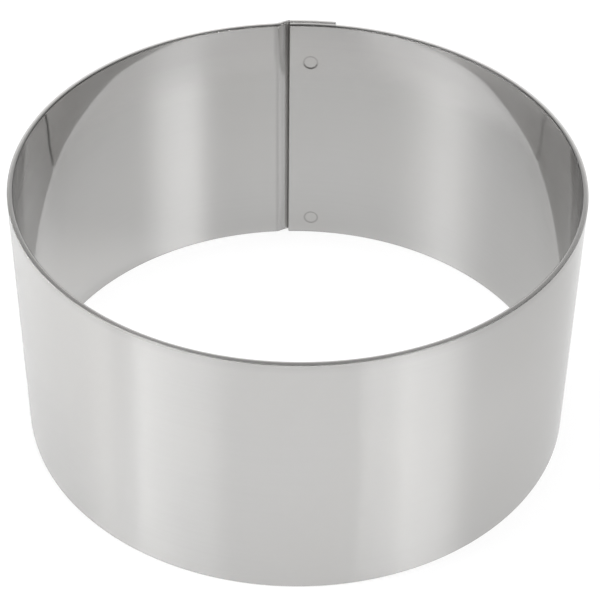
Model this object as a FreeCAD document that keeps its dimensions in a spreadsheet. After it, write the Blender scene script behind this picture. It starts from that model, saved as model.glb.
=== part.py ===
import FreeCAD, Part
import math
import os

import Sketcher

# A pastry ring: one strip of stainless sheet rolled into a circle. One end of the
# strip steps outwards by the sheet's thickness, laps over the other end and is held
# to it by two spot welds, one above the other.
# The ring's axis is Z, it stands on Z = 0, and the middle of the lap is on +Y.
# Seen from inside, the inner end of the strip is on the left of the lap, at -X.

# Driving dimensions in millimetres, each with the words that go in the sheet beside it.
DIMENSIONS = [
    ("ring_diameter", 90.0, "across the outside of the round wall"),
    ("ring_height", 45.0, "width of the strip"),
    ("sheet_thickness", 0.9, "stainless sheet"),
    ("lap_length", 8.05, "overlap of the two ends, along the outside of the wall"),
    ("lap_gap", 0.05, "air left between the two layers of the lap"),
    ("joggle_length", 2.6, "length of the step, along the outside of the wall"),
    ("joggle_radius", 0.7, "inside radius of the two bends of the step"),
    ("joggle_cover", 0.2, "how much of the step the inner end of the strip covers"),
    ("edge_radius", 0.2, "deburring of every edge of the strip"),
    ("weld_diameter", 2.4, "spot weld, and the mark that the electrode leaves"),
    ("mark_depth", 0.07, "how far the electrode sinks into the face"),
    ("mark_slope", 0.2, "width of the sloping edge of the electrode's mark"),
    ("upper_weld_margin", 7.6, "from the top edge down to the upper weld"),
    ("lower_weld_margin", 3.4, "from the bottom edge up to the lower weld"),
    ("upper_weld_offset", -0.2, "upper weld, sideways from the middle of the lap"),
    ("lower_weld_offset", 0.25, "lower weld, sideways from the middle of the lap"),
]
SIZE = {name: value for name, value, words in DIMENSIONS}

# Ends of an arc or a line, and the centre of an arc, as the sketch numbers them.
START = 1
END = 2
CENTRE = 3
ORIGIN = (-1, 1)

PART_NAME = "ring_band"


def make_sheet(doc):
    """The table of driving dimensions, one named cell each."""
    sheet = doc.addObject("Spreadsheet::Sheet", "Dimensions")
    for row, (name, value, words) in enumerate(DIMENSIONS, start=1):
        sheet.set(f"A{row}", name)
        sheet.set(f"B{row}", str(value))
        sheet.set(f"C{row}", words)
        sheet.setAlias(f"B{row}", name)
    doc.recompute()
    return sheet


def bind(thing, prop, formula):
    """Ties a size to the table. Each word of the formula that names a cell is looked up there."""
    words = formula.split()
    tied = [f"Dimensions.{word}" if word in SIZE else word for word in words]
    thing.setExpression(prop, " ".join(tied))


def point(radius, angle):
    """A point of the plan, from its distance to the ring's axis and its angle from +X."""
    return FreeCAD.Vector(radius * math.cos(angle), radius * math.sin(angle), 0)


def plan_layout():
    """Radii and angles of the strip's plan, as the first guess that the sketch starts from."""
    outer = SIZE["ring_diameter"] / 2
    bend = SIZE["joggle_radius"]
    thick = SIZE["sheet_thickness"]
    lap_inner = outer + SIZE["lap_gap"]
    half_lap = SIZE["lap_length"] / 2 / outer
    middle = math.pi / 2
    step_end = middle + half_lap - SIZE["joggle_cover"] / outer
    step_start = step_end + SIZE["joggle_length"] / outer
    first_centre = point(outer + bend, step_start)
    second_centre = point(lap_inner - bend, step_end)
    # The slope touches one bend on each side, so it crosses the line between their centres.
    across = second_centre - first_centre
    slope = math.atan2(across.y, across.x) + math.asin((2 * bend + thick) / across.Length)
    return {
        "outer": outer,
        "inner": outer - thick,
        "lap_inner": lap_inner,
        "lap_outer": lap_inner + thick,
        "inner_end": middle + half_lap,
        "outer_end": middle - half_lap,
        "step_end": step_end,
        "step_start": step_start,
        "first_centre": first_centre,
        "second_centre": second_centre,
        "slope": slope,
    }


def draw_plan(sketch):
    """The strip seen from above: the round wall, the step's two bends and slope, and the lap."""
    lay = plan_layout()
    up = FreeCAD.Vector(0, 0, 1)
    axis = FreeCAD.Vector(0, 0, 0)
    bend = SIZE["joggle_radius"]
    thick = SIZE["sheet_thickness"]

    def arc(centre, radius, start, end):
        circle = Part.Circle(centre, up, radius)
        return sketch.addGeometry(Part.ArcOfCircle(circle, start, end), False)

    def line(a, b, construction=False):
        return sketch.addGeometry(Part.LineSegment(a, b), construction)

    def fix(*terms):
        return sketch.addConstraint(Sketcher.Constraint(*terms))

    def size(name, formula, *terms):
        """A dimension of the sketch, named and tied to the table."""
        sketch.renameConstraint(fix(*terms), name)
        bind(sketch, f"Constraints.{name}", formula)

    whole_turn = 2 * math.pi
    wall_end = lay["inner_end"] + whole_turn
    wall_outer = arc(axis, lay["outer"], lay["step_start"], wall_end)
    wall_inner = arc(axis, lay["inner"], lay["step_start"], wall_end)
    lap_outer = arc(axis, lay["lap_outer"], lay["outer_end"], lay["step_end"])
    lap_inner = arc(axis, lay["lap_inner"], lay["outer_end"], lay["step_end"])

    # The slope leaves the first bend and enters the second at right angles to their radii.
    first = lay["first_centre"]
    first_start = lay["step_start"] + math.pi
    first_end = lay["slope"] + 3 * math.pi / 2
    first_outer = arc(first, bend, first_start, first_end)
    first_inner = arc(first, bend + thick, first_start, first_end)
    second = lay["second_centre"]
    second_start = lay["slope"] + math.pi / 2
    second_outer = arc(second, bend + thick, lay["step_end"], second_start)
    second_inner = arc(second, bend, lay["step_end"], second_start)
    slope_outer = line(first + point(bend, first_end), second + point(bend + thick, second_start))
    slope_inner = line(first + point(bend + thick, first_end), second + point(bend, second_start))

    inner_end = line(point(lay["inner"], lay["inner_end"]), point(lay["outer"], lay["inner_end"]))
    outer_end = line(point(lay["lap_inner"], lay["outer_end"]), point(lay["lap_outer"], lay["outer_end"]))
    start_line = line(axis, point(lay["inner"], lay["step_start"]), construction=True)
    end_line = line(axis, point(lay["lap_inner"], lay["step_end"]), construction=True)

    for round_face in (wall_outer, wall_inner, lap_outer, lap_inner):
        fix("Coincident", round_face, CENTRE, *ORIGIN)
    fix("Coincident", first_outer, CENTRE, first_inner, CENTRE)
    fix("Coincident", second_outer, CENTRE, second_inner, CENTRE)

    # The outer face and then the inner face run smoothly through the step into the lap.
    fix("Tangent", wall_outer, START, first_outer, START)
    fix("Tangent", first_outer, END, slope_outer, START)
    fix("Tangent", slope_outer, END, second_outer, END)
    fix("Tangent", second_outer, START, lap_outer, END)
    fix("Tangent", wall_inner, START, first_inner, START)
    fix("Tangent", first_inner, END, slope_inner, START)
    fix("Tangent", slope_inner, END, second_inner, END)
    fix("Tangent", second_inner, START, lap_inner, END)
    fix("Parallel", slope_outer, slope_inner)

    # Both ends of the strip are cut square, so they point at the ring's axis.
    fix("Coincident", inner_end, START, wall_inner, END)
    fix("Coincident", inner_end, END, wall_outer, END)
    fix("Coincident", outer_end, START, lap_inner, START)
    fix("Coincident", outer_end, END, lap_outer, START)
    fix("PointOnObject", *ORIGIN, inner_end)
    fix("PointOnObject", *ORIGIN, outer_end)
    fix("Coincident", start_line, START, *ORIGIN)
    fix("Coincident", start_line, END, wall_inner, START)
    fix("Coincident", end_line, START, *ORIGIN)
    fix("Coincident", end_line, END, lap_inner, END)

    # The lap's outer face needs no radius: the step carries the sheet's thickness to it.
    size("wall_outer_radius", "ring_diameter / 2", "Radius", wall_outer, lay["outer"])
    size("wall_inner_radius", "ring_diameter / 2 - sheet_thickness", "Radius", wall_inner, lay["inner"])
    size("lap_inner_radius", "ring_diameter / 2 + lap_gap", "Radius", lap_inner, lay["lap_inner"])
    size("first_bend_radius", "joggle_radius", "Radius", first_outer, bend)
    size("second_bend_radius", "joggle_radius", "Radius", second_inner, bend)

    half_lap = "lap_length / ring_diameter * 180 deg / pi"
    cover = "joggle_cover / ring_diameter * 360 deg / pi"
    step = "joggle_length / ring_diameter * 360 deg / pi"
    step_end = f"90 deg + {half_lap} - {cover}"
    size("inner_end_angle", f"90 deg + {half_lap}", "Angle", inner_end, lay["inner_end"])
    size("outer_end_angle", f"90 deg - {half_lap}", "Angle", outer_end, lay["outer_end"])
    size("step_end_angle", step_end, "Angle", end_line, lay["step_end"])
    size("step_start_angle", f"{step_end} + {step}", "Angle", start_line, lay["step_start"])


def cut_faces(shape):
    """Names of the faces where the sheet was cut: both rims and both ends of the strip."""
    names = []
    for number, face in enumerate(shape.Faces, start=1):
        if not isinstance(face.Surface, Part.Plane):
            continue
        normal = face.Surface.Axis
        is_rim = abs(normal.z) > 0.5
        # The ends are cut square, so their planes pass through the ring's axis.
        is_end = abs(face.Surface.Position.dot(normal)) < 0.01
        if is_rim or is_end:
            names.append(f"Face{number}")
    return names


def make_strip(doc):
    """The rolled strip with its step and lap, as one padded plan with deburred edges."""
    body = doc.addObject("PartDesign::Body", "SheetStrip")
    body.Label = "sheet_strip"
    plan = body.newObject("Sketcher::SketchObject", "StripPlan")
    ground = next(o for o in body.Origin.OriginFeatures if o.Role == "XY_Plane")
    plan.AttachmentSupport = [(ground, "")]
    plan.MapMode = "FlatFace"
    draw_plan(plan)
    doc.recompute()

    wall = body.newObject("PartDesign::Pad", "StripWall")
    wall.Profile = plan
    bind(wall, "Length", "ring_height")
    doc.recompute()

    edges = body.newObject("PartDesign::Fillet", "DeburredEdges")
    edges.Base = (wall, cut_faces(wall.Shape))
    bind(edges, "Radius", "edge_radius")
    body.Tip = edges
    doc.recompute()
    return body


def weld_height(which):
    """Height of a weld above the bottom edge, as a formula of the table."""
    return "ring_height - upper_weld_margin" if which == "upper" else "lower_weld_margin"


def place(thing, which, inwards, distance):
    """Lays an upright tool along the ring's radius, at one weld, starting so far from the axis."""
    quarter = 90 if inwards else -90
    turned = FreeCAD.Rotation(FreeCAD.Vector(1, 0, 0), quarter)
    thing.Placement = FreeCAD.Placement(FreeCAD.Vector(0, 0, 0), turned)
    bind(thing, "Placement.Base.x", f"{which}_weld_offset")
    bind(thing, "Placement.Base.y", distance)
    bind(thing, "Placement.Base.z", weld_height(which))


def make_nugget(doc, which):
    """The molten core of a spot weld, which joins the middles of the two layers."""
    nugget = doc.addObject("Part::Cylinder", f"{which.capitalize()}Nugget")
    nugget.Label = f"{which}_weld_nugget"
    bind(nugget, "Radius", "weld_diameter / 2")
    bind(nugget, "Height", "sheet_thickness + lap_gap")
    place(nugget, which, False, "ring_diameter / 2 - sheet_thickness / 2")
    return nugget


def make_mark(doc, which, side):
    """What the electrode presses out of one face: a shallow flat dish with a sloping edge."""
    mark = doc.addObject("Part::Cone", f"{which.capitalize()}{side.capitalize()}Mark")
    mark.Label = f"{which}_weld_{side}_mark"
    bind(mark, "Radius1", "weld_diameter / 2 + mark_slope")
    bind(mark, "Radius2", "weld_diameter / 2 - mark_slope")
    bind(mark, "Height", "2 * mark_depth")
    if side == "inside":
        place(mark, which, False, "ring_diameter / 2 - sheet_thickness - mark_depth")
    else:
        place(mark, which, True, "ring_diameter / 2 + lap_gap + sheet_thickness + mark_depth")
    return mark


def make_ring(doc):
    """The strip, closed by its two welds and marked by the electrodes on both faces."""
    strip = make_strip(doc)
    welds = ("upper", "lower")
    joined = doc.addObject("Part::MultiFuse", "WeldedStrip")
    joined.Label = "welded_strip"
    joined.Shapes = [strip] + [make_nugget(doc, which) for which in welds]

    marks = doc.addObject("Part::MultiFuse", "ElectrodeMarks")
    marks.Label = "electrode_marks"
    marks.Shapes = [make_mark(doc, which, side) for which in welds for side in ("inside", "outside")]

    ring = doc.addObject("Part::Cut", "RingBand")
    ring.Label = PART_NAME
    ring.Base = joined
    ring.Tool = marks
    doc.recompute()
    return ring


def check(doc, ring):
    """Stops with a plain message if anything failed to build, or the ring isn't one solid."""
    for thing in doc.Objects:
        bad = [state for state in thing.State if state in ("Invalid", "Error")]
        if bad:
            raise RuntimeError(f"{thing.Label} did not build: {bad}")
    shape = ring.Shape
    if shape.isNull() or not shape.isValid():
        raise RuntimeError(f"{ring.Label} is not a valid shape")
    if len(shape.Solids) != 1:
        raise RuntimeError(f"{ring.Label} has {len(shape.Solids)} solids and should have one")


def main():
    doc = FreeCAD.newDocument("PastryRing")
    make_sheet(doc)
    ring = make_ring(doc)
    check(doc, ring)
    os.makedirs("parts", exist_ok=True)
    ring.Shape.exportStep(f"parts/{ring.Label}.step")
    box = ring.Shape.optimalBoundingBox(False)
    print(f"{ring.Label}: {box.XLength:.2f} x {box.YLength:.2f} x {box.ZLength:.2f} mm")
    print(f"volume {ring.Shape.Volume:.1f} mm3, {len(ring.Shape.Faces)} faces")


main()
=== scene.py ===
import math

import bmesh
import bpy
from mathutils import Matrix, Vector


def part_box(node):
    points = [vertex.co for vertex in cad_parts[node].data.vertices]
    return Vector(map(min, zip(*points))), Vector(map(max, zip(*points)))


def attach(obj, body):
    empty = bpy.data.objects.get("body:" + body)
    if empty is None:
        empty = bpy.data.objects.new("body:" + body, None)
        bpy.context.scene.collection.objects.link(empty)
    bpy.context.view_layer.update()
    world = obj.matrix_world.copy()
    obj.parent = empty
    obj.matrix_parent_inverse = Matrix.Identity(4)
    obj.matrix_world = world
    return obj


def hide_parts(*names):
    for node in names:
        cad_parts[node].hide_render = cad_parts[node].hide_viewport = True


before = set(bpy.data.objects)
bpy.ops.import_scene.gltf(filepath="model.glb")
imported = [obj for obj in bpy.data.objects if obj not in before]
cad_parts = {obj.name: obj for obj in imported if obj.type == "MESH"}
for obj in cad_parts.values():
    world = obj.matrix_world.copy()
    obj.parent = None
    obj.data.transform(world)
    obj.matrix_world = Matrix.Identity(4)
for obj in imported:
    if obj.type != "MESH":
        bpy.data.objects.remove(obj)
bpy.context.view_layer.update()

# A pastry ring: a strip of stainless sheet rolled into a circle, with one end stepped
# outwards, lapped over the other and held to it by two spot welds.
# The ring's axis is Z, it stands on Z = 0, and the middle of the lap is on +Y.

MM = 0.001

# The ring's sizes. Its reach comes from the frame, less a hair, so that it stays inside
# the frame's box. The rest is measured on the sheet.
band_low, band_high = (Vector(corner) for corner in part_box("ring_band"))
HAIR = 0.001 * MM
OUTER_RADIUS = band_high.x - HAIR
LAP_OUTER_RADIUS = band_high.y - HAIR
RING_HEIGHT = band_high.z
LAP_GAP = 0.05 * MM
SHEET = LAP_OUTER_RADIUS - OUTER_RADIUS - LAP_GAP
INNER_RADIUS = OUTER_RADIUS - SHEET
LAP_INNER_RADIUS = OUTER_RADIUS + LAP_GAP
LAP_LENGTH = 8.05 * MM
JOGGLE_LENGTH = 2.6 * MM
JOGGLE_RADIUS = 0.7 * MM
JOGGLE_COVER = 0.2 * MM
EDGE_RADIUS = 0.2 * MM
EDGE_SEGMENTS = 4
EDGE_SUPPORT = 0.1 * MM
SHARP_ANGLE = math.radians(60)

# The spot welds: the electrode's marks, and how far each is from the middle of the lap,
# sideways, and from the lower rim.
WELD_RADIUS = 1.2 * MM
MARK_DEPTH = 0.07 * MM
MARK_SLOPE = 0.2 * MM
WELD_SEGMENTS = 48
WELDS = [(-0.2 * MM, RING_HEIGHT - 7.6 * MM), (0.25 * MM, 3.4 * MM)]

# How finely the sheet is divided, along the strip.
WALL_COLUMN = 0.35 * MM
BEND_COLUMN = 0.12 * MM
WELD_GRID = 0.09 * MM
WELD_REACH = 2.0 * MM

# The angles of the plan, from +X. The strip starts at its inner end, runs clockwise all
# the way round, steps outwards beside that end and stops at its outer end.
LAP_MIDDLE = math.pi / 2
HALF_LAP = LAP_LENGTH / 2 / OUTER_RADIUS
INNER_END = LAP_MIDDLE + HALF_LAP
OUTER_END = LAP_MIDDLE - HALF_LAP
STEP_END = INNER_END - JOGGLE_COVER / OUTER_RADIUS
STEP_START = STEP_END + JOGGLE_LENGTH / OUTER_RADIUS
WELD_START = LAP_MIDDLE + WELD_REACH / OUTER_RADIUS
WELD_STOP = LAP_MIDDLE - WELD_REACH / OUTER_RADIUS

# The camera of the photograph, found by fitting both rims. Angles are in degrees.
# The view is turned about Z, because the photograph shows the lap's middle a little right.
VIEW_TURN = 2.78
CAMERA_LENS = 115.1
CAMERA_SENSOR = 36.0
CAMERA_ELEVATION = 39.51
CAMERA_ROLL = 0.64
CAMERA_DISTANCE = 6.993 * OUTER_RADIUS
CAMERA_AIM = Vector((0.012, 0.0, 0.4358)) * OUTER_RADIUS

WHITE = (1.0, 1.0, 1.0, 1.0)
BLACK = (0.0, 0.0, 0.0, 1.0)


class Value:
    """A socket of a node tree. Arithmetic on it adds the Math nodes that work it out."""

    def __init__(self, socket):
        self.socket = socket

    def maths(self, operation, *terms):
        return Nodes(self.socket.id_data).add("ShaderNodeMath", {"operation": operation}, *terms)

    def __add__(self, other):
        return self.maths("ADD", self, other)

    def __sub__(self, other):
        return self.maths("SUBTRACT", self, other)

    def __mul__(self, other):
        return self.maths("MULTIPLY", self, other)

    def __truediv__(self, other):
        return self.maths("DIVIDE", self, other)

    def __pow__(self, other):
        return self.maths("POWER", self, other)

    def __radd__(self, other):
        return self.maths("ADD", other, self)

    def __rsub__(self, other):
        return self.maths("SUBTRACT", other, self)

    def __rmul__(self, other):
        return self.maths("MULTIPLY", other, self)

    def __neg__(self):
        return self.maths("MULTIPLY", self, -1.0)

    def atan2(self, other):
        return self.maths("ARCTAN2", self, other)

    def arcsin(self):
        return self.maths("ARCSINE", self)

    def absolute(self):
        return self.maths("ABSOLUTE", self)

    def smaller(self, other):
        return self.maths("MINIMUM", self, other)

    def wrapped(self):
        """An angle in degrees, brought between -180 and 180."""
        return self.maths("WRAP", self, 180.0, -180.0)


class Nodes:
    """Adds nodes to one tree."""

    def __init__(self, tree):
        self.tree = tree

    def link(self, term, socket):
        """Gives an input its value, or links it."""
        if isinstance(term, Value):
            self.tree.links.new(term.socket, socket)
        else:
            socket.default_value = term

    def add(self, kind, settings=None, *terms, output=0, **named):
        """A new node: its type, its settings, then the values or links of its inputs."""
        node = self.tree.nodes.new(kind)
        for name, setting in (settings or {}).items():
            setattr(node, name, setting)
        for number, term in enumerate(terms):
            self.link(term, node.inputs[number])
        for name, term in named.items():
            self.link(term, node.inputs[name.replace("_", " ")])
        return Value(node.outputs[output])

    def finish(self, kind, shader):
        """Links a finished shader to the tree's output."""
        self.link(shader, self.tree.nodes.new(kind).inputs["Surface"])

    def split(self, vector):
        """The three numbers of a vector."""
        node = self.tree.nodes.new("ShaderNodeSeparateXYZ")
        self.link(vector, node.inputs[0])
        return [Value(output) for output in node.outputs]

    def vector(self, operation, *terms, **named):
        """A node of vector arithmetic."""
        return self.add("ShaderNodeVectorMath", {"operation": operation}, *terms, **named)

    def edge(self, value, start, end):
        """Rises smoothly from 0 to 1 as the value goes from start to end."""
        settings = {"interpolation_type": "SMOOTHSTEP"}
        return self.add("ShaderNodeMapRange", settings, value, start, end, 0.0, 1.0)

    def hill(self, value, centre, half_width):
        """1 at the centre, falling smoothly to 0 at the half width on both sides."""
        return self.edge((value - centre).absolute(), half_width, 0.0)

    def noise(self, place, across, upright, detail):
        """Noise from 0 to 1 that varies so often in a metre along X and Y, and along Z."""
        spread = self.vector("MULTIPLY", place, (across, across, upright))
        return self.add("ShaderNodeTexNoise", {}, spread, Scale=1.0, Detail=detail)

    def blend(self, share, one, other):
        """A colour between two, by the share of the other."""
        node = self.tree.nodes.new("ShaderNodeMix")
        node.data_type = "RGBA"
        for number, term in ((0, share), (6, one), (7, other)):
            self.link(term, node.inputs[number])
        return Value(node.outputs[2])

    def mix(self, share, one, other):
        """A shader between two, by the share of the other."""
        return self.add("ShaderNodeMixShader", {}, share, one, other)


def new_tree(holder):
    """The emptied node tree of a material or world, as a maker of nodes."""
    holder.use_nodes = True
    holder.node_tree.nodes.clear()
    return Nodes(holder.node_tree)


def add_object(name, mesh):
    """A new object at the origin, from a bmesh, with smooth faces."""
    data = bpy.data.meshes.new(name)
    for face in mesh.faces:
        face.smooth = True
    mesh.to_mesh(data)
    mesh.free()
    thing = bpy.data.objects.new(name, data)
    bpy.context.collection.objects.link(thing)
    return thing


def plan_point(radius, angle):
    """A point of the plan, from its distance to the ring's axis and its angle from +X."""
    return Vector((radius * math.cos(angle), radius * math.sin(angle), 0.0))


def roll_on(mesh, section, centre, turn, column):
    """Sweeps the strip's section on round an upright axis, in columns of the given angle."""
    steps = max(1, round(abs(turn) / column))
    swept = bmesh.ops.spin(
        mesh, geom=section, cent=centre, axis=(0, 0, 1), angle=turn, steps=steps,
        use_merge=False, use_duplicate=False,
    )
    return swept["geom_last"]


def slide_on(mesh, section, way):
    """Sweeps the strip's section straight on, in columns like those of the wall."""
    steps = max(1, round(way.length / WALL_COLUMN))
    swept = bmesh.ops.spin(
        mesh, geom=section, cent=(0, 0, 0), axis=(0, 0, 1), dvec=way / steps, angle=0.0,
        steps=steps, use_merge=False, use_duplicate=False,
    )
    return swept["geom_last"]


def roll_strip(mesh):
    """The strip from its inner end, round the wall and through the step, to its outer end."""
    rise = Vector((0, 0, RING_HEIGHT))
    inner = plan_point(INNER_RADIUS, INNER_END)
    outer = plan_point(OUTER_RADIUS, INNER_END)
    corners = [mesh.verts.new(place) for place in (inner, outer, outer + rise, inner + rise)]
    end_face = mesh.faces.new(corners)
    section = corners + list(end_face.edges) + [end_face]

    axis = Vector((0, 0, 0))
    wall = WALL_COLUMN / OUTER_RADIUS
    fine = WELD_GRID / OUTER_RADIUS
    bend = BEND_COLUMN / JOGGLE_RADIUS
    quarter_turn = math.pi / 2
    whole_turn = math.pi * 2

    # The slope touches one bend on each side, so it crosses the line between their centres.
    first = plan_point(OUTER_RADIUS + JOGGLE_RADIUS, STEP_START)
    second = plan_point(LAP_INNER_RADIUS - JOGGLE_RADIUS, STEP_END)
    across = second - first
    bends = 2 * JOGGLE_RADIUS + SHEET
    slope = math.atan2(across.y, across.x) + math.asin(bends / across.length)
    slope_length = math.sqrt(across.length**2 - bends**2)
    first_turn = slope - (STEP_START - quarter_turn)
    second_turn = (STEP_END - quarter_turn) - slope

    section = roll_on(mesh, section, axis, WELD_START - INNER_END, wall)
    section = roll_on(mesh, section, axis, WELD_STOP - WELD_START, fine)
    section = roll_on(mesh, section, axis, STEP_START - whole_turn - WELD_STOP, wall)
    section = roll_on(mesh, section, first, first_turn, bend)
    section = slide_on(mesh, section, plan_point(slope_length, slope))
    section = roll_on(mesh, section, second, second_turn, bend)
    section = roll_on(mesh, section, axis, WELD_START - STEP_END, wall)
    section = roll_on(mesh, section, axis, WELD_STOP - WELD_START, fine)
    roll_on(mesh, section, axis, OUTER_END - WELD_STOP, wall)


def pressed_faces(mesh):
    """The faces that the electrodes press on: inside the ring and outside it, at the lap."""
    reach = WELD_REACH + WELD_GRID / 4
    found = []
    for face in mesh.faces:
        centre = face.calc_center_median()
        if abs(centre.x) > reach or centre.y < 0 or abs(face.normal.z) > 0.5:
            continue
        distance = math.hypot(centre.x, centre.y)
        if distance < INNER_RADIUS + SHEET / 4 or distance > LAP_OUTER_RADIUS - SHEET / 4:
            found.append(face)
    return found


def press_marks(mesh):
    """The dished mark of a spot weld's electrodes, on both faces of the lap."""
    rows = round(2 * WELD_REACH / WELD_GRID)
    for _, height in WELDS:
        for row in range(rows + 1):
            level = height - WELD_REACH + row * 2 * WELD_REACH / rows
            faces = pressed_faces(mesh)
            edges = {edge for face in faces for edge in face.edges}
            corners = {vert for face in faces for vert in face.verts}
            bmesh.ops.bisect_plane(
                mesh, geom=[*corners, *edges, *faces], dist=WELD_GRID / 100,
                plane_co=(0, 0, level), plane_no=(0, 0, 1),
            )
    for vert in {vert for face in pressed_faces(mesh) for vert in face.verts}:
        inwards = math.hypot(vert.co.x, vert.co.y) < OUTER_RADIUS
        for side, height in WELDS:
            away = math.hypot(vert.co.x - side, vert.co.z - height)
            slope = (WELD_RADIUS + MARK_SLOPE - away) / (2 * MARK_SLOPE)
            slope = min(max(slope, 0.0), 1.0)
            sunk = MARK_DEPTH * slope * slope * (3 - 2 * slope)
            vert.co.y += sunk if inwards else -sunk


def support_edges(mesh):
    """A loop of edges just inside each rounded rim, so that the wall's shading stays flat."""
    inset = EDGE_RADIUS + EDGE_SUPPORT
    for level in (inset, RING_HEIGHT - inset):
        bmesh.ops.bisect_plane(
            mesh, geom=[*mesh.verts, *mesh.edges, *mesh.faces], dist=EDGE_SUPPORT / 100,
            plane_co=(0, 0, level), plane_no=(0, 0, 1),
        )


def fill_welds(mesh):
    """The melted metal that joins the two layers of the lap, across the gap between them."""
    middle = OUTER_RADIUS + LAP_GAP / 2
    for side, height in WELDS:
        place = Matrix.Translation((side, middle, height)) @ Matrix.Rotation(math.pi / 2, 4, "X")
        bmesh.ops.create_cone(
            mesh, cap_ends=True, segments=WELD_SEGMENTS, radius1=WELD_RADIUS,
            radius2=WELD_RADIUS, depth=2 * LAP_GAP, matrix=place,
        )


def make_band():
    """The whole ring as one mesh."""
    mesh = bmesh.new()
    roll_strip(mesh)
    bmesh.ops.recalc_face_normals(mesh, faces=mesh.faces)
    press_marks(mesh)
    sharp = [edge for edge in mesh.edges if edge.calc_face_angle(0.0) > SHARP_ANGLE]
    bmesh.ops.bevel(
        mesh, geom=sharp, offset=EDGE_RADIUS, offset_type="OFFSET", segments=EDGE_SEGMENTS,
        profile=0.5, affect="EDGES", material=-1, clamp_overlap=False,
    )
    support_edges(mesh)
    fill_welds(mesh)
    bmesh.ops.recalc_face_normals(mesh, faces=mesh.faces)
    band = add_object("rolled_band", mesh)
    band.data.materials.append(satin_steel())
    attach(band, "root")
    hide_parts("ring_band")
    return band


# The sheet's finish. The mirror is the sheet's own bright surface, and the haze is what its
# fine rolling lines scatter up and down.
COOL_STEEL = (0.660, 0.656, 0.650, 1.0)
WARM_STEEL = (0.652, 0.640, 0.622, 1.0)
MIRROR_ROUGHNESS = 0.05
HAZE_ROUGHNESS = 0.33
HAZE_STRETCH = 0.81
HAZE_SHARE = 0.43
MORE_HAZE_INSIDE = 0.08

# The sheet's patterns: how often each varies in a metre, level and upright, and its detail.
ROLLING_LINES = (30.0, 2300.0, 4.0)
TONE_PATCHES = (45.0, 30.0, 2.0)
SHALLOW_WAVES = (35.0, 60.0, 1.0)
LINE_DEPTH = 0.0002 * MM
WAVE_DEPTH = 0.012 * MM

# The wall leans outwards a little towards the upper rim, and more in the last millimetres.
FLARE = (33.0 * MM, 39.0 * MM)
FLARE_SLOPE = 0.018
CURL = (RING_HEIGHT - 3.0 * MM, RING_HEIGHT)
CURL_SLOPE = 0.012

# The soft edges of the marks: each rises from nothing at the first value to full at the
# second. These are measured from the strip's inner end, along the wall, on the step's side.
SEAM_CORNER = (0.9 * MM, 0.3 * MM)
SEAM_LINE = (0.35 * MM, 0.15 * MM)
SEAM_END = (-0.1 * MM, -0.05 * MM)
STEP_SLOPE = (JOGGLE_LENGTH, 1.6 * MM)
STEP_SLOPE_END = (0.3 * MM, 0.9 * MM)
STEP_FOOT = (1.6 * MM, 0.9 * MM)
STEP_FOOT_END = (0.2 * MM, 0.6 * MM)
STEP_BROW = (3.0 * MM, 2.3 * MM)
STEP_BROW_END = (1.5 * MM, 1.9 * MM)
LAP_START = (0.1 * MM, -0.1 * MM)
LAP_STOP = (-LAP_LENGTH - 0.1 * MM, -LAP_LENGTH + 0.1 * MM)

# These are heights above the lower rim.
UPPER_SEAM = (RING_HEIGHT - 11 * MM, RING_HEIGHT - 3 * MM)
DIMMED_TOP_ZONE = (RING_HEIGHT - 13 * MM, RING_HEIGHT - 4 * MM)
UNDER_RIM = (RING_HEIGHT - 2 * MM, RING_HEIGHT - 0.3 * MM)

# These are distances from the ring's axis.
INNER_FACE = (INNER_RADIUS + 0.4 * MM, INNER_RADIUS + 0.2 * MM)
BEHIND_INNER_FACE = (INNER_RADIUS + 0.1 * MM, INNER_RADIUS + 0.4 * MM)
INNER_LAP_RIM = (OUTER_RADIUS - 0.1 * MM, OUTER_RADIUS - 0.3 * MM)

# These are distances from the nearer rim, and shares by which a surface faces up or down.
RIM = (EDGE_RADIUS * 1.5, EDGE_RADIUS * 0.5)
TURNED_FROM_WALL = (0.15, 0.35)
TURNED_FROM_RIM = (0.985, 0.93)

# The half width of the groove between the lap's rims and of the dark ring round a weld, and
# how far the weld's heat has tinted the sheet.
GROOVE_REACH = 0.4 * MM
WELD_RING_REACH = 0.28 * MM
HEAT_REACH = 3.5 * MM

# How much darker each mark makes the steel: the seam, the step, the lap's inner rim, the rounded
# edges and the zones below the upper rim by painted shade. The groove between the lap's rims
# gets painted light.
TOP_INSIDE_PAINTED_SHADE = 0.14
UNDER_RIM_SHADE = 0.08
SEAM_SHADE = 0.3
STEP_SLOPE_SHADE = 0.3
STEP_FOOT_SHADE = 0.35
STEP_BROW_SHADE = 0.2
INNER_LAP_RIM_SHADE = 0.3
GROOVE_LIGHT = 0.4
WELD_RING_SHADE = 0.26
ROUNDED_SHADE = 0.2
MORE_ROUNDED_SHADE_INSIDE = 0.45
PATTERN_SHADE = 0.05

# How much the patches and the heat warm the colour.
PATCH_WARMTH = 1.6
HEAT_WARMTH = 0.4

# How much rougher, and how much less hazy, each mark makes the steel.
RIM_ROUGHNESS = 0.1
ROUNDED_ROUGHNESS = 0.3
SEAM_ROUGHNESS = 0.35
PATCH_ROUGHNESS = 0.03
LINE_ROUGHNESS = 0.06
PATCH_HAZE = 0.08
RIM_HAZE_LOSS = 0.35
TOP_INSIDE_HAZE_LOSS = 0.24
SEAM_HAZE_LOSS = 0.35


class Sheet:
    """Where a point of the steel lies on the strip, worked out in a material's nodes."""

    def __init__(self, make):
        self.place = make.add("ShaderNodeTexCoord", output="Object")
        self.x, self.y, self.z = make.split(self.place)
        self.reach = (self.x * self.x + self.y * self.y) ** 0.5
        self.normal = make.add("ShaderNodeNewGeometry", output="Normal")
        self.along = self.y * math.cos(INNER_END) - self.x * math.sin(INNER_END)
        self.at_lap = make.edge(self.y, 0.0, MM)
        self.inner_face = make.edge(self.reach, *INNER_FACE)
        self.rim = make.edge(self.z.smaller(RING_HEIGHT - self.z), *RIM)


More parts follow.
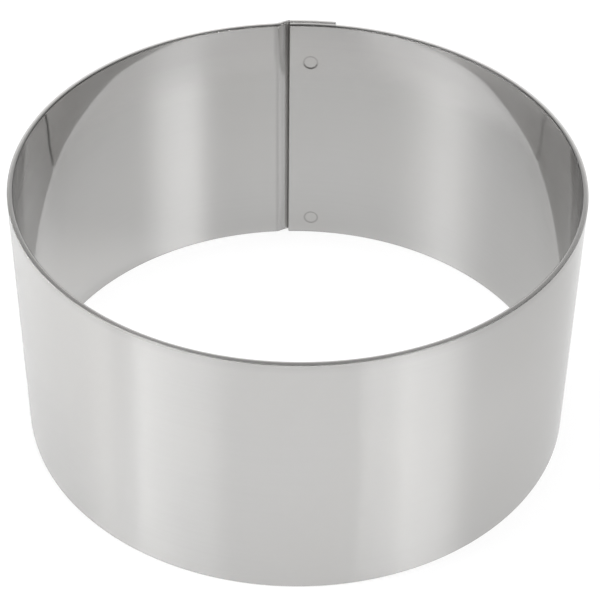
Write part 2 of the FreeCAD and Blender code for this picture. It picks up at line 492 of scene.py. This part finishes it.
def leaning_normal(make, sheet):
    """The wall's normal, turned by its slight lean near the upper rim."""
    facing_x, facing_y = make.split(sheet.normal)[:2]
    outwards = (facing_x * sheet.x + facing_y * sheet.y) / sheet.reach
    lean = make.edge(sheet.z, *FLARE) * FLARE_SLOPE
    lean = lean + make.edge(sheet.z, *CURL) * CURL_SLOPE
    rise = make.add("ShaderNodeCombineXYZ", {}, 0.0, 0.0, -(outwards * lean))
    return make.vector("NORMALIZE", make.vector("ADD", sheet.normal, rise))


def rounded_edges(make, sheet):
    """The deburred edges, where the surface neither stands upright nor lies flat."""
    facing_up = make.split(sheet.normal)[2].absolute()
    return make.edge(facing_up, *TURNED_FROM_WALL) * make.edge(facing_up, *TURNED_FROM_RIM)


def seam_corner(make, sheet):
    """The narrow corner between the strip's inner end and the step."""
    corner = make.edge(sheet.along, *SEAM_CORNER) * make.edge(sheet.along, *SEAM_END)
    return corner * make.edge(sheet.reach, *BEHIND_INNER_FACE) * sheet.at_lap


def seam_light(make, sheet, corner):
    """The painted shade on the step and on the dark line at the strip's inner end, as the share
    of light they keep.
    """
    line = corner * make.edge(sheet.along, *SEAM_LINE)
    slope = make.edge(sheet.along, *STEP_SLOPE) * make.edge(sheet.along, *STEP_SLOPE_END)
    foot = make.edge(sheet.along, *STEP_FOOT) * make.edge(sheet.along, *STEP_FOOT_END)
    brow = make.edge(sheet.along, *STEP_BROW) * make.edge(sheet.along, *STEP_BROW_END)
    upper = make.edge(sheet.z, *UPPER_SEAM)
    below = slope * (1.0 - upper) * STEP_SLOPE_SHADE
    above = (foot * STEP_FOOT_SHADE + brow * STEP_BROW_SHADE) * upper
    return (1.0 - (below + above) * sheet.at_lap) * (1.0 - line * SEAM_SHADE)


def lap_rim_light(make, sheet):
    """At the lap, painted light in the groove between the two rims and painted shade on the
    inner layer's rim make both rims look alike from edge to edge.
    """
    on_lap = sheet.rim * sheet.at_lap
    on_lap = on_lap * make.edge(sheet.along, *LAP_START) * make.edge(sheet.along, *LAP_STOP)
    groove = on_lap * make.hill(sheet.reach, OUTER_RADIUS + LAP_GAP / 2, GROOVE_REACH)
    inner_rim = on_lap * make.edge(sheet.reach, *INNER_LAP_RIM)
    return groove * GROOVE_LIGHT - inner_rim * INNER_LAP_RIM_SHADE + 1.0


def weld_marks(make, sheet):
    """The dark rings round the welds, and the sheet that their heat has tinted."""
    ring = 0.0
    heat = 0.0
    for side, height in WELDS:
        sideways = sheet.x - side
        upwards = sheet.z - height
        away = (sideways * sideways + upwards * upwards) ** 0.5
        ring = make.hill(away, WELD_RADIUS, WELD_RING_REACH) + ring
        heat = make.edge(away, HEAT_REACH, WELD_RADIUS) + heat
    return ring * sheet.at_lap, heat * sheet.at_lap


def satin_steel():
    """Rolled stainless sheet, duller at its cut rims, stained at the welds, with painted shade
    on the seam, the step, the rounded edges and below the upper rim, and painted light in the
    lap's groove.
    """
    material = bpy.data.materials.new("satin_stainless")
    make = new_tree(material)
    sheet = Sheet(make)
    lines = make.noise(sheet.place, *ROLLING_LINES) - 0.5
    patches = make.noise(sheet.place, *TONE_PATCHES) - 0.5
    waves = make.noise(sheet.place, *SHALLOW_WAVES)
    rounded = rounded_edges(make, sheet)
    corner = seam_corner(make, sheet)
    ring, heat = weld_marks(make, sheet)

    # Inside, the last millimetres below the upper rim have less haze and get painted shade.
    dimmed_top_inside = make.edge(sheet.z, *DIMMED_TOP_ZONE) * sheet.inner_face
    # Outside, just below the upper rim, the steel is darkened a little: painted shade.
    under_rim = make.edge(sheet.z, *UNDER_RIM) * (1.0 - sheet.inner_face)

    shade = 1.0 - dimmed_top_inside * TOP_INSIDE_PAINTED_SHADE - under_rim * UNDER_RIM_SHADE
    shade = shade * seam_light(make, sheet, corner) * lap_rim_light(make, sheet)
    # The rounded edges get painted shade, more of it on the inner ones.
    rounded_shade = rounded * (sheet.inner_face * MORE_ROUNDED_SHADE_INSIDE + ROUNDED_SHADE)
    shade = shade * (1.0 - ring * WELD_RING_SHADE) * (1.0 - rounded_shade)
    shade = shade * ((lines + patches) * PATTERN_SHADE + 1.0)
    warmth = patches * PATCH_WARMTH + 0.5 + heat * HEAT_WARMTH
    tone = make.blend(warmth, COOL_STEEL, WARM_STEEL)
    tone = make.vector("SCALE", tone, Scale=shade)

    normal = make.add(
        "ShaderNodeBump", {}, Strength=1.0, Distance=1.0, Normal=leaning_normal(make, sheet),
        Height=waves * WAVE_DEPTH + lines * LINE_DEPTH,
    )
    roughness = sheet.rim * RIM_ROUGHNESS + rounded * ROUNDED_ROUGHNESS
    roughness = roughness + corner * SEAM_ROUGHNESS + patches * PATCH_ROUGHNESS
    mirror = make.add(
        "ShaderNodeBsdfPrincipled", {}, Base_Color=tone, Metallic=1.0, Normal=normal,
        Roughness=roughness + MIRROR_ROUGHNESS,
    )
    haze = make.add(
        "ShaderNodeBsdfAnisotropic", {"distribution": "GGX"}, Color=COOL_STEEL, Normal=normal,
        Roughness=lines * LINE_ROUGHNESS + HAZE_ROUGHNESS, Anisotropy=HAZE_STRETCH,
    )
    # A black shader mixed into the haze carries the same painted shade and light onto it.
    dark = make.add("ShaderNodeBsdfDiffuse", {}, BLACK)
    haze = make.mix(shade, dark, haze)

    share = patches * PATCH_HAZE - sheet.rim * RIM_HAZE_LOSS - dimmed_top_inside * TOP_INSIDE_HAZE_LOSS
    share = share - corner * SEAM_HAZE_LOSS + sheet.inner_face * MORE_HAZE_INSIDE
    make.finish("ShaderNodeOutputMaterial", make.mix(share + HAZE_SHARE, mirror, haze))
    return material


def add_camera():
    """The photograph's view."""
    data = bpy.data.cameras.new("camera")
    data.lens = CAMERA_LENS
    data.sensor_width = CAMERA_SENSOR
    camera = bpy.data.objects.new("camera", data)
    bpy.context.collection.objects.link(camera)
    elevation = math.radians(CAMERA_ELEVATION)
    turn = Matrix.Rotation(math.radians(VIEW_TURN), 4, "Z")
    tilt = Matrix.Rotation(math.pi / 2 - elevation, 4, "X")
    roll = Matrix.Rotation(math.radians(CAMERA_ROLL), 4, "Z")
    backwards = Vector((0, -math.cos(elevation), math.sin(elevation)))
    eye = CAMERA_AIM + backwards * CAMERA_DISTANCE
    camera.matrix_world = turn @ Matrix.Translation(eye) @ tilt @ roll
    bpy.context.scene.camera = camera


# The table: half its width, its colour, and how much of its white is its own glow. In the
# metal it looks darker, by these shares: everywhere, inside the ring, where the wall shades
# it, and far to the right. At the left, inside, the wall throws some light back on it.
TABLE_REACH = 3.0
TABLE_COLOUR = (0.9, 0.9, 0.9, 1.0)
TABLE_GLOW = 0.8
TABLE_DIM = 0.1
TABLE_DIM_INSIDE = 0.08
TABLE_DIM_RIGHT = 0.17
TABLE_LIT_LEFT = 0.25
INSIDE_RING = (INNER_RADIUS, INNER_RADIUS - 3 * MM)
FAR_RIGHT = (55 * MM, 95 * MM)
LEFT_SIDE = (-15 * MM, -32 * MM)


def add_floor():
    """A wide white table that takes the ring's soft shadow."""
    mesh = bmesh.new()
    bmesh.ops.create_grid(mesh, x_segments=1, y_segments=1, size=TABLE_REACH)
    floor = add_object("floor", mesh)
    material = bpy.data.materials.new("white_table")
    make = new_tree(material)
    x, y = make.split(make.add("ShaderNodeTexCoord", output="Object"))[:2]
    inside = make.edge((x * x + y * y) ** 0.5, *INSIDE_RING)
    dimmer = inside * TABLE_DIM_INSIDE + make.edge(x, *FAR_RIGHT) * TABLE_DIM_RIGHT
    dimmer = dimmer - make.edge(x, *LEFT_SIDE) * inside * TABLE_LIT_LEFT + TABLE_DIM
    in_metal = make.add("ShaderNodeLightPath", output="Is Glossy Ray")
    glow = make.add("ShaderNodeEmission", {}, 1.0 - in_metal * dimmer, 1.0)
    diffuse = make.add("ShaderNodeBsdfDiffuse", {}, TABLE_COLOUR)
    make.finish("ShaderNodeOutputMaterial", make.mix(TABLE_GLOW, diffuse, glow))
    floor.data.materials.append(material)


# The studio's lights as the metal sees them. Each is a panel with soft edges: its level,
# then its left edge and right edge with the softness of each, then its elevation, half
# height and softness, in degrees. Azimuths start at the camera and grow to its right.
PANELS = {
    "left_softbox": (13.0, (-92.5, 4, -68, 5), (59, 11, 20)),
    "right_softbox": (6.5, (44, 2.5, 68, 7), (42.5, 12.8, 6)),
    "left_window": (24, (-127, 15, -97, 5), (0, 1.5, 1.5)),
    "left_screen": (23, (-97, 5, -68, 4), (0, 1.5, 1.5)),
    "front_left_fill": (31, (-57, 3, -27, 6), (0, 1.5, 1.5)),
    "front_screen": (10.2, (-27, 6, 23, 1.5), (0, 1.5, 1.5)),
    "front_right_strip": (31, (23, 1.5, 41, 4), (0, 1.5, 1.5)),
    "backdrop": (0.9, (125, 10, 215, 10), (0, 33, 4.5)),
    "back_wall": (0.4, (125, 10, 215, 10), (0, 62, 10)),
    "overhead": (0.3, (-180, 1, 180, 1), (90, 20, 10)),
}


def add_world():
    """The studio round the table, as the metal sees it, and plain white behind the ring."""
    world = bpy.data.worlds.new("studio")
    bpy.context.scene.world = world
    make = new_tree(world)
    x, y, z = make.split(make.add("ShaderNodeTexCoord"))
    degrees = 180.0 / math.pi
    azimuth = x.atan2(-y) * degrees - VIEW_TURN
    elevation = z.arcsin() * degrees
    total = 0.0
    for level, sides, heights in PANELS.values():
        left, left_soft, right, right_soft = sides
        rise, half_height, rise_soft = heights
        off_side = (azimuth - (left + right) / 2).wrapped()
        half_width = (right - left) / 2
        across = make.edge(off_side, -half_width - left_soft, -half_width + left_soft)
        across = across * make.edge(off_side, half_width + right_soft, half_width - right_soft)
        off_rise = (elevation - rise).absolute()
        upright = make.edge(off_rise, half_height + rise_soft, half_height - rise_soft)
        total = across * upright * level + total
    seen = make.add("ShaderNodeLightPath", output="Is Camera Ray")
    total = total + seen * (1.0 - total)
    make.finish("ShaderNodeOutputWorld", make.add("ShaderNodeBackground", {}, WHITE, total))


# The round softbox over the ring: its width, its height over the table, and its watts.
LAMP_WIDTH = 1.2
LAMP_HEIGHT = 1.2
LAMP_POWER = 20.0


def add_lamp():
    """A round softbox above the ring."""
    data = bpy.data.lights.new("overhead", "AREA")
    data.shape = "DISK"
    data.size = LAMP_WIDTH
    data.energy = LAMP_POWER
    lamp = bpy.data.objects.new("overhead", data)
    bpy.context.collection.objects.link(lamp)
    lamp.location = (0, 0, LAMP_HEIGHT)
    lamp.visible_glossy = False


add_camera()
make_band()
add_floor()
add_world()
add_lamp()

scene = bpy.context.scene
scene.view_settings.view_transform = "Standard"
